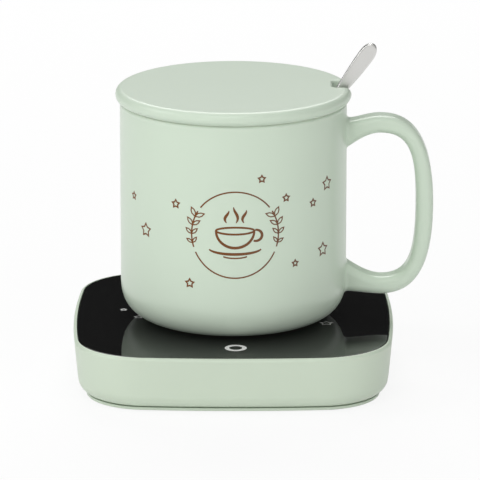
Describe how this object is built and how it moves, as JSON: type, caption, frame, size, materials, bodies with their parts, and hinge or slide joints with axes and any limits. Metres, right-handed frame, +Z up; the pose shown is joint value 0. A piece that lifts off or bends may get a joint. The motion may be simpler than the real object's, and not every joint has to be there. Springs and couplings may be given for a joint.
{
  "type": "electric mug warmer",
  "caption": "Square low desk mug warmer with a flush dark glass top and touch key, carrying its matching lidded ceramic mug and spoon.",
  "frame": {"origin": "middle of the foot pad's underside, where the warmer stands on the desk", "axes": "+Z up, +X towards the mug's handle, -Y to the front where the touch key is"},
  "size_m": [0.1338, 0.1192, 0.1246],
  "materials": {
    "mint_plastic": "satin mint green ABS",
    "black_glass": "black tempered glass with white printing",
    "foam_tape": "black adhesive frame",
    "aluminium": "rolled aluminium",
    "mica": "mica sheet with etched track",
    "silicone_foam": "white silicone foam",
    "zinc_steel": "zinc plated steel",
    "screw_steel": "plated screws",
    "sensor_resin": "epoxy bead",
    "tinned_wire": "tinned wire",
    "lead_sleeve": "white silicone sleeve",
    "fuse_case": "plated case",
    "white_plastic": "white light guide",
    "spring_steel": "nickel plated spring wire",
    "led_resin": "clear resin",
    "board_laminate": "green solder mask",
    "chip_resin": "black epoxy",
    "capacitor_can": "aluminium can",
    "black_plastic": "black nylon",
    "brass": "nickel-free brass",
    "silicone": "grey-green silicone",
    "mint_glaze": "glossy mint glazed stoneware",
    "spoon_steel": "satin stainless steel"
  },
  "bodies": {
    "warmer": {"housing": "mint_plastic", "top_glass": "black_glass", "glass_adhesive": "foam_tape", "heat_spreader": "aluminium", "heater_element": "mica", "insulation_pad": "silicone_foam", "clamp_plate": "zinc_steel", "clamp_screws": "screw_steel", "thermistor": "sensor_resin", "sensor_leads": "tinned_wire", "heater_leads": "lead_sleeve", "thermal_fuse": "fuse_case", "fuse_strap": "zinc_steel", "light_guide": "white_plastic", "touch_spring": "spring_steel", "indicator_leds": "led_resin", "control_board": "board_laminate", "microcontroller": "chip_resin", "power_transistor": "chip_resin", "supply_capacitor": "capacitor_can", "board_screws": "screw_steel", "dc_jack": "black_plastic", "jack_pin": "brass", "jack_contact": "spring_steel", "bottom_cover": "mint_plastic", "cover_screws": "screw_steel", "foot_pad": "silicone"},
    "mug": {"mug": "mint_glaze"},
    "lid": {"lid": "mint_glaze"},
    "spoon": {"spoon": "spoon_steel"}
  },
  "joints": [
    {"name": "mug_lift", "type": "slide", "parent": "warmer", "child": "mug", "axis": [0, 0, 1], "range_m": [0, 0.12]},
    {"name": "lid_lift", "type": "slide", "parent": "mug", "child": "lid", "axis": [0, 0, 1], "range_m": [0, 0.06]},
    {"name": "spoon_lift", "type": "slide", "parent": "mug", "child": "spoon", "axis": [0.5807, 0, 0.8141], "range_m": [0, 0.035]}
  ]
}
